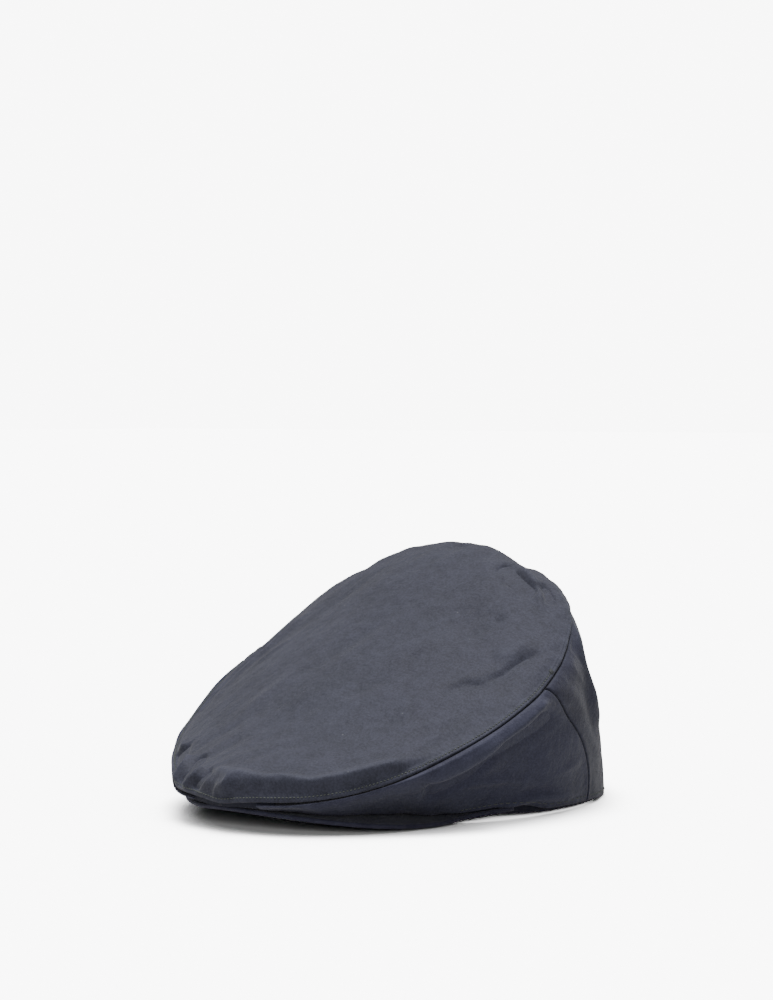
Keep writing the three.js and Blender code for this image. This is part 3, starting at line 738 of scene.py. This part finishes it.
def peak_edge(share):
    """The peak's outline from its left corner round to its right one."""
    corner_side, corner_along = head_oval(PEAK_CORNER_TURN)
    end_share = PEAK_END_SHARE
    from_end = np.minimum(share, 1 - share)
    hand = np.where(share < 0.5, 1, -1)
    blend = np.clip(from_end / end_share, 0, 1)
    side_end = corner_side + (PEAK_HALF_WIDTH - corner_side) * smooth(blend, 0, 1)
    along_end = corner_along + (PEAK_MIDDLE_ALONG - corner_along) * blend
    turn = np.pi * np.clip((share - end_share) / (1 - 2 * end_share), 0, 1)
    side = PEAK_HALF_WIDTH * np.abs(np.cos(turn)) ** (2 / PEAK_SQUARENESS)
    along = PEAK_MIDDLE_ALONG - PEAK_REACH * np.abs(np.sin(turn)) ** (2 / PEAK_SQUARENESS)
    at_end = from_end < end_share
    side = hand * np.where(at_end, side_end, side)
    along = np.where(at_end, along_end, along)
    tuck = RIGHT_CORNER_TUCK * right_corner(side, along)
    return side + TUCK_WAY[0] * tuck, along + TUCK_WAY[1] * tuck


def make_peak():
    columns = PEAK_COLUMNS
    share = np.linspace(0, 1, columns)
    turn = PEAK_CORNER_TURN + (-180 - 2 * PEAK_CORNER_TURN) * share
    inner = head_oval(turn, -CLOTH)
    outer = peak_edge(share)
    reach_rows = np.concatenate([np.linspace(0, 0.94, 26), np.linspace(0.955, 1, 6)])
    half = PEAK_THICKNESS / 2
    upper = []
    under = []
    width = np.hypot(outer[0] - inner[0], outer[1] - inner[1])
    for reach in reach_rows:
        side = inner[0] + (outer[0] - inner[0]) * reach
        along = inner[1] + (outer[1] - inner[1]) * reach
        from_edge = (1 - reach) * width
        near = np.clip(half - from_edge, 0, half)
        round_off = half - np.sqrt(np.maximum(half ** 2 - near ** 2, 0))
        low = peak_under(side, along)
        upper.append(np.stack([side, along, low + PEAK_THICKNESS - round_off], -1))
        under.append(np.stack([side, along, low + round_off], -1))
    upper = np.array(upper)
    under = np.array(under)[::-1]
    arc = run_length(upper, 1)
    uv = np.stack([arc, np.broadcast_to(reach_rows[:, None] * 60, arc.shape)], -1) * MM
    from_edge = (1 - reach_rows[:, None]) * width
    attributes = dict(edge=np.exp(-from_edge / PEAK_EDGE_WEAR_REACH), relief=0 * arc)
    return cloth_body("peak_cloth", upper, under[1:], False, uv, attributes)


def band_foot(turn):
    side, along = head_oval(turn)
    blend = smooth(-along, 0, 60)
    return 0.5 * hem_height(turn) * (1 - blend) + peak_under(side, along) * blend


def make_sweatband():
    columns = BAND_COLUMNS
    turn = -90 + 360 * np.arange(columns) / columns
    top_edge = [BAND_HEIGHT, BAND_HEIGHT - 0.3]
    low_edge = [0.3, 0]
    rows = []
    for high in np.concatenate([top_edge, np.linspace(BAND_HEIGHT - 1, 1, 12), low_edge]):
        face = -CLOTH - BAND_CLEARANCE - BAND_LEAN * high / BAND_HEIGHT
        side, along = head_oval(turn, face)
        rows.append(np.stack([side, along, band_foot(turn) + high], -1))
    outer = np.array(rows)
    normal = grid_normals(outer, closed=True)
    from_edge = np.minimum(BAND_HEIGHT - outer[..., 2] + band_foot(turn), outer[..., 2] - band_foot(turn))
    curl = edge_curl(from_edge, 0.5)[..., None]
    lining = (outer - normal * (BAND_THICKNESS - curl))[::-1]
    outer = outer - normal * curl
    arc = np.broadcast_to(np.radians(turn) * 93, outer.shape[:2])
    uv = np.stack([arc, outer[..., 2]], -1) * MM
    return cloth_body("sweatband_cloth", outer, lining, True, uv, dict(edge=0 * arc, relief=0 * arc))


# Stitches

def line_on_panel(points, normals, distance, arc, inset, wanted):
    """Points and directions on a panel, at a set distance from its edge and at the wanted places."""
    if arc[0, 0] == 0:
        # A grid that goes all the way round is turned to start at the back, so that places just
        # left and right of the front follow each other.
        half = points.shape[1] // 2
        grids = (points, normals, distance, arc)
        points, normals, distance, arc = [np.roll(grid, half, axis=1) for grid in grids]
        arc = np.where(arc >= ARC[-1] / 2, arc - ARC[-1], arc)
    columns = points.shape[1]
    spots = np.zeros((columns, 3))
    outs = np.zeros((columns, 3))
    for column in range(columns):
        order = np.argsort(distance[:, column])
        away = distance[order, column]
        for axis in range(3):
            spots[column, axis] = np.interp(inset, away, points[order, column, axis])
            outs[column, axis] = np.interp(inset, away, normals[order, column, axis])
    place = arc[0]
    found = np.stack([np.interp(wanted, place, spots[:, axis]) for axis in range(3)], -1)
    out = np.stack([np.interp(wanted, place, outs[:, axis]) for axis in range(3)], -1)
    return found, out / np.linalg.norm(out, axis=-1, keepdims=True)


def thread_bars(name, starts, ends, outs, radius):
    """Short lengths of thread that come up through the cloth, lie on it and go down again."""
    sides = 6
    bends = [(0.0, -0.6), (0.12, 0.65), (0.5, 1.3), (0.88, 0.65), (1.0, -0.6)]
    points = []
    faces = []
    for start, end, out in zip(starts, ends, outs):
        ahead = (end - start) / np.linalg.norm(end - start)
        across = np.cross(ahead, out)
        base = len(points)
        for share, high in bends:
            centre = start + (end - start) * share + out * radius * high
            size = radius * (0.75 if share in (0.0, 1.0) else 1.0)
            for side in range(sides):
                angle = 2 * math.pi * side / sides
                points.append(centre + size * (across * math.cos(angle) + out * math.sin(angle)))
        for ring in range(len(bends) - 1):
            for side in range(sides):
                after = (side + 1) % sides
                a = base + ring * sides
                faces.append((a + side, a + after, a + sides + after, a + sides + side))
        faces.append(tuple(base + side for side in reversed(range(sides))))
        end_ring = base + (len(bends) - 1) * sides
        faces.append(tuple(end_ring + side for side in range(sides)))
    return make_object(name, points, faces)


def stitch_line(name, panel, inset, first, last, stitch):
    """A line of stitches between two places along a panel's edge."""
    pitch = stitch["pitch"]
    count = round((last - first) / pitch)
    middles = first + (last - first) * (np.arange(count) + 0.5) / count
    wobble = STITCH_WOBBLE * pitch * soft_noise(middles / 5.0, 0 * middles, 71)
    half = 0.5 * pitch * STITCH_SHARE
    starts, outs = line_on_panel(*panel, inset, middles - half + wobble)
    ends = line_on_panel(*panel, inset, middles + half + wobble)[0]
    return thread_bars(name, starts, ends, outs, stitch["radius"])


def bar_tack(name, panel, places):
    """Threads side by side, square to the seam, where a line of stitches ends."""
    starts, outs = line_on_panel(*panel, TACK_FROM, places)
    ends, outs = line_on_panel(*panel, TACK_TO, places)
    return thread_bars(name, starts, ends, outs, TACK_RADIUS)


# Finishes

class Wire:
    """A value in a material's node tree that adds and multiplies like a number."""

    def __init__(self, tree, socket):
        self.tree = tree
        self.socket = socket

    def maths(self, operation, *others):
        node = self.tree.nodes.new("ShaderNodeMath")
        node.operation = operation
        for place, value in enumerate((self,) + others):
            connect(self.tree, node.inputs[place], value)
        return Wire(self.tree, node.outputs[0])

    def __add__(self, other):
        return self.maths("ADD", other)

    def __rsub__(self, other):
        return self.maths("MULTIPLY", -1) + other

    def __mul__(self, other):
        return self.maths("MULTIPLY", other)

    __radd__ = __add__
    __rmul__ = __mul__

    def between(self, low, high):
        """0 below low, 1 above high, smooth in between."""
        node = self.tree.nodes.new("ShaderNodeMapRange")
        node.interpolation_type = "SMOOTHSTEP"
        connect(self.tree, node.inputs["Value"], self)
        node.inputs["From Min"].default_value = low
        node.inputs["From Max"].default_value = high
        return Wire(self.tree, node.outputs["Result"])


def connect(tree, socket, value):
    if isinstance(value, Wire):
        tree.links.new(value.socket, socket)
    else:
        socket.default_value = value


class Finish:
    """A material being built node by node."""

    def __init__(self, name):
        self.material = bpy.data.materials.new(name)
        self.material.use_nodes = True
        self.tree = self.material.node_tree
        self.shader = self.tree.nodes["Principled BSDF"]

    def node(self, kind, output, settings=None, **inputs):
        node = self.tree.nodes.new("ShaderNode" + kind)
        for key, value in (settings or {}).items():
            setattr(node, key, value)
        for key, value in inputs.items():
            connect(self.tree, node.inputs[key.replace("_", " ")], value)
        return Wire(self.tree, node.outputs[output])

    def stretched(self, vector, scale):
        return self.node("Mapping", "Vector", Vector=vector, Scale=scale)

    def set(self, **inputs):
        for key, value in inputs.items():
            connect(self.tree, self.shader.inputs[key.replace("_", " ")], value)

    def mix(self, factor, low, high):
        node = self.tree.nodes.new("ShaderNodeMix")
        node.data_type = "RGBA"
        connect(self.tree, node.inputs["Factor"], factor)
        connect(self.tree, node.inputs[6], low)
        connect(self.tree, node.inputs[7], high)
        return Wire(self.tree, node.outputs[2])


# Patterns of the cloth. Scales are waves in a metre.
PATCHES = dict(Scale=38.0, Detail=3.0, Roughness=0.6)
CLOUDS = dict(Scale=150.0, Detail=4.0, Roughness=0.62)
SLUBS = dict(Scale=110.0, Detail=3.0, Roughness=0.7)
SLUB_STRETCH = (1.0, 7.0, 1.0)
GRAIN = dict(Scale=900.0, Detail=3.0, Roughness=0.75)
WEAVE = dict(Scale=620.0, Distortion=1.2, Detail=1.0, Detail_Scale=2.0)
FLECKS = dict(Scale=95.0, Randomness=1.0)
FLECK_COLOUR = (0.3, 0.31, 0.32, 1)


def waxed_cotton(name, dark, light, rubbed_colour):
    """Mottled wax over a plain weave, paler where creases and edges are rubbed, with a few flecks."""
    finish = Finish(name)
    place = finish.node("TexCoord", "Object")
    cloth = finish.node("UVMap", "UV", dict(uv_map="cloth"))
    edge = finish.node("Attribute", "Fac", dict(attribute_name="edge"))
    relief = finish.node("Attribute", "Fac", dict(attribute_name="relief"))
    patches = finish.node("TexNoise", "Fac", Vector=place, **PATCHES)
    clouds = finish.node("TexNoise", "Fac", Vector=place, **CLOUDS)
    slubs = finish.node("TexNoise", "Fac", Vector=finish.stretched(cloth, SLUB_STRETCH), **SLUBS)
    grain = finish.node("TexNoise", "Fac", Vector=place, **GRAIN)
    warp, weft = [finish.node("TexWave", "Fac", dict(wave_type="BANDS", bands_direction=way),
                              Vector=cloth, **WEAVE) for way in "XY"]
    weave = warp * weft
    tone = (patches.between(0.3, 0.7) * 0.2 + clouds.between(0.3, 0.7) * 0.2
            + grain.between(0.38, 0.62) * 0.45 + slubs.between(0.3, 0.7) * 0.15)
    rubbed = relief.between(0.6, 2.8) * 0.18 + edge * clouds.between(0.35, 0.7) * 0.3
    cells = finish.node("TexVoronoi", "Distance", Vector=place, **FLECKS)
    flecks = (1 - cells.between(0.025, 0.055)) * clouds.between(0.5, 0.62) * 0.4
    colour = finish.mix(tone, dark, light)
    colour = finish.mix(rubbed, colour, rubbed_colour)
    colour = finish.mix(flecks, colour, FLECK_COLOUR)
    # Heights in metres
    height = weave * 0.00006 + grain * 0.00012 + slubs * 0.00012 + clouds * 0.0006 + patches * 0.0012
    normal = finish.node("Bump", "Normal", Height=height, Strength=0.95, Distance=1.0)
    finish.set(Base_Color=colour, Normal=normal, Roughness=0.52 + (patches * 0.2 + rubbed * 0.1),
               Specular_IOR_Level=0.22, Sheen_Weight=0.2, Sheen_Roughness=0.45)
    return finish.material


def plain(name, colour, roughness):
    finish = Finish(name)
    finish.set(Base_Color=colour, Roughness=roughness)
    return finish.material


TOP_FINISH = waxed_cotton("waxed cotton, top", (0.031, 0.0325, 0.049, 1), (0.074, 0.077, 0.111, 1),
                          (0.112, 0.118, 0.172, 1))
# The sides take a copy of the top's waxed cotton, a little darker and bluer for the shade they stand in:
# painted shade.
SIDE_PAINTED_SHADE_FINISH = waxed_cotton("waxed cotton, sides, painted shade", (0.031, 0.032, 0.058, 1), (0.064, 0.067, 0.110, 1),
                           (0.102, 0.107, 0.160, 1))
# The back takes a darker copy of the same waxed cotton for the shade it stands in: painted shade.
BACK_PAINTED_SHADE_FINISH = waxed_cotton("waxed cotton, back, painted shade", (0.025, 0.0255, 0.045, 1), (0.051, 0.0535, 0.087, 1),
                           (0.085, 0.089, 0.132, 1))
# The peak takes a darker copy of the same waxed cotton for the shade under the body: painted shade.
PEAK_PAINTED_SHADE_FINISH = waxed_cotton("waxed cotton, peak, painted shade", (0.028, 0.029, 0.054, 1), (0.046, 0.047, 0.082, 1),
                           (0.10, 0.103, 0.16, 1))
# The sweatband's own dark cotton. The same finish also goes on the seam allowances, which are darker there
# than the waxed cotton they are turned from: painted shade in the seams.
BAND_AND_SEAM_SHADE_FINISH = waxed_cotton("cotton band, also painted seam shade", (0.016, 0.017, 0.032, 1), (0.027, 0.028, 0.048, 1),
                           (0.04, 0.042, 0.062, 1))
THREAD_FINISH = plain("sewing thread", (0.125, 0.138, 0.128, 1), 0.7)
TACK_FINISH = plain("bar tack thread", (0.062, 0.066, 0.072, 1), 0.7)


def dress(piece, finish, node=None):
    """Gives a piece its finish and its place in the frame."""
    piece.data.materials.append(finish)
    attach(piece, "root")
    if node:
        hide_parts(node)


# The cap

top, *top_panel = make_top_panel()
dress(top, TOP_FINISH, "top_panel")

left, *left_panel = make_wall("side_panel_left_cloth", FRONT_TIP_STATION, SIDE_SEAM_STATION,
                              WALL_COLUMNS, WALL_ROWS)
dress(left, SIDE_PAINTED_SHADE_FINISH, "side_panel_left")
right, *right_panel = make_wall("side_panel_right_cloth", RIGHT_SEAM_STATION, ROUND - FRONT_TIP_STATION,
                                WALL_COLUMNS, WALL_ROWS)
dress(right, SIDE_PAINTED_SHADE_FINISH, "side_panel_right")
back, *back_panel = make_wall("back_panel_cloth", SIDE_SEAM_STATION, RIGHT_SEAM_STATION,
                              BACK_COLUMNS, BACK_ROWS)
dress(back, BACK_PAINTED_SHADE_FINISH, "back_panel")

peak = make_peak()
dress(peak, PEAK_PAINTED_SHADE_FINISH, "peak")
band = make_sweatband()
dress(band, BAND_AND_SEAM_SHADE_FINISH, "sweatband")

# The seam allowances are turned-in panel cloth given the band's darker finish: painted shade behind the
# seams.
dress(make_seam_allowance(), BAND_AND_SEAM_SHADE_FINISH)
for side, station in (("left", SIDE_SEAM_STATION), ("right", RIGHT_SEAM_STATION)):
    strip = make_side_seam_allowance("side_seam_allowance_" + side, station)
    dress(strip, BAND_AND_SEAM_SHADE_FINISH)

stitches_end = arc_at(STITCHES_END_STATION)
seam_stitches = stitch_line("top_panel_stitches", top_panel, STITCH_INSET, -stitches_end, stitches_end,
                            TOP_STITCH)
dress(seam_stitches, THREAD_FINISH)
for side, places in (("left", stitches_end + TACK_STEPS), ("right", -stitches_end - TACK_STEPS)):
    dress(bar_tack("bar_tack_" + side, top_panel, places), TACK_FINISH)

hem_start = arc_at(HEM_STITCHES_FROM_STATION)
for name, panel, first, last in (
        ("side_panel_left", left_panel, hem_start, left_panel[-1][0, -1] - 1),
        ("side_panel_right", right_panel, right_panel[-1][0, 0] + 1, ARC[-1] - hem_start),
        ("back_panel", back_panel, back_panel[-1][0, 0] + 1, back_panel[-1][0, -1] - 1)):
    hem_stitches = stitch_line(name + "_hem_stitches", panel, HEM_STITCH_UP, first, last, HEM_STITCH)
    dress(hem_stitches, THREAD_FINISH)


# Studio

PICTURE_WIDTH = 773
PICTURE_HEIGHT = 1000
LENS = 100
SENSOR = 36
VIEW = dict(azimuth=40, elevation=5.7, distance=1.4, target=(0, 0, 0.062))
TARGET_PIXEL = (393, 680)

# WHITE and FLOOR_WHITE are as bright as the photo's paper where the camera sees them.
# SKY_LIGHT and FLOOR_LIGHT are what the same surfaces send on to the cap.
WHITE = 8.5
SKY_LIGHT = 0.2
FLOOR_WHITE = 5.1
FLOOR_LIGHT = 0.38
# The floor's painted contact shadow: its colour, how far it reaches and the openness over which it fades
# out.
FLOOR_PAINTED_SHADOW = 0.3
PAINTED_SHADOW_REACH = 0.035
PAINTED_SHADOW_RANGE = (0.2, 0.85)

LAMPS = [
    dict(name="overhead softbox", azimuth=10, elevation=86, strength=3.25, spread=34),
    dict(name="rim light from behind", azimuth=176, elevation=40, strength=0.2, spread=20),
    dict(name="low fill from the front", azimuth=42, elevation=14, strength=0.34, spread=60),
    dict(name="low light along the floor", azimuth=42, elevation=17, strength=5.0, spread=16,
         floor_only=True),
]


def direction(azimuth, elevation):
    """Away from the cap: azimuth 0 is in front of it, 90 on the wearer's left."""
    a = math.radians(azimuth)
    e = math.radians(elevation)
    return Vector((math.sin(a) * math.cos(e), -math.cos(a) * math.cos(e), math.sin(e)))


def grey(value):
    return (value, value, value, 1)


def look_from(azimuth, elevation, distance, target):
    """Camera that shows the target at its pixel of the picture."""
    pixels_per_slope = LENS / SENSOR * PICTURE_HEIGHT
    away = direction(azimuth, elevation)
    a = math.radians(azimuth)
    right = Vector((math.cos(a), math.sin(a), 0))
    forward = -away
    up = right.cross(forward)
    pitch = math.atan((TARGET_PIXEL[1] - PICTURE_HEIGHT / 2) / pixels_per_slope)
    yaw = math.atan((TARGET_PIXEL[0] - PICTURE_WIDTH / 2) / pixels_per_slope)
    tilted = forward * math.cos(pitch) + up * math.sin(pitch)
    up = up * math.cos(pitch) - forward * math.sin(pitch)
    ahead = tilted * math.cos(yaw) - right * math.sin(yaw)
    side = right * math.cos(yaw) + tilted * math.sin(yaw)
    data = bpy.data.cameras.new("camera")
    data.lens = LENS
    data.sensor_width = SENSOR
    data.sensor_fit = "VERTICAL"
    data.sensor_height = SENSOR
    data.clip_end = 50
    camera = bpy.data.objects.new("camera", data)
    turn = Matrix((side, up, -ahead)).transposed().to_4x4()
    camera.matrix_world = Matrix.Translation(Vector(target) + away * distance) @ turn
    bpy.context.scene.collection.objects.link(camera)
    bpy.context.scene.camera = camera


def make_floor():
    """A white plane with a painted contact shadow: it darkens where something stands close above it."""
    bpy.ops.mesh.primitive_plane_add(size=30)
    plane = bpy.context.object
    plane.name = "studio_floor"
    finish = Finish("studio floor")
    shader = finish.tree.nodes.new("ShaderNodeBsdfDiffuse")
    looked_at = finish.node("LightPath", "Is Camera Ray")
    painted_shadow_openness = finish.node("AmbientOcclusion", "AO", dict(samples=16), Distance=PAINTED_SHADOW_REACH)
    colour = finish.mix(looked_at, grey(FLOOR_LIGHT), grey(FLOOR_WHITE))
    # Painted contact shadow: darker where the floor is closed in from above.
    colour = finish.mix(painted_shadow_openness.between(*PAINTED_SHADOW_RANGE), grey(FLOOR_PAINTED_SHADOW), colour)
    connect(finish.tree, shader.inputs["Color"], colour)
    output = finish.tree.nodes["Material Output"]
    finish.tree.links.new(shader.outputs[0], output.inputs["Surface"])
    plane.data.materials.append(finish.material)
    return plane


def make_sky():
    world = bpy.data.worlds.new("studio")
    world.use_nodes = True
    bpy.context.scene.world = world
    tree = world.node_tree
    backdrop = tree.nodes["Background"]
    looked_at = tree.nodes.new("ShaderNodeLightPath")
    strength = tree.nodes.new("ShaderNodeMapRange")
    strength.inputs["To Min"].default_value = SKY_LIGHT
    strength.inputs["To Max"].default_value = WHITE
    tree.links.new(looked_at.outputs["Is Camera Ray"], strength.inputs["Value"])
    tree.links.new(strength.outputs["Result"], backdrop.inputs["Strength"])
    backdrop.inputs["Color"].default_value = (1, 1, 1, 1)


def make_lamp(name, azimuth, elevation, strength, spread, floor_only=False):
    data = bpy.data.lights.new(name, "SUN")
    data.energy = strength
    data.angle = math.radians(spread)
    light = bpy.data.objects.new(name, data)
    away = direction(azimuth, elevation)
    light.rotation_euler = away.to_track_quat("Z", "Y").to_euler()
    bpy.context.scene.collection.objects.link(light)
    if floor_only:
        light.light_linking.receiver_collection = only_floor


look_from(**VIEW)
floor = make_floor()
make_sky()
only_floor = bpy.data.collections.new("only_floor")
only_floor.objects.link(floor)
for row in LAMPS:
    make_lamp(**row)
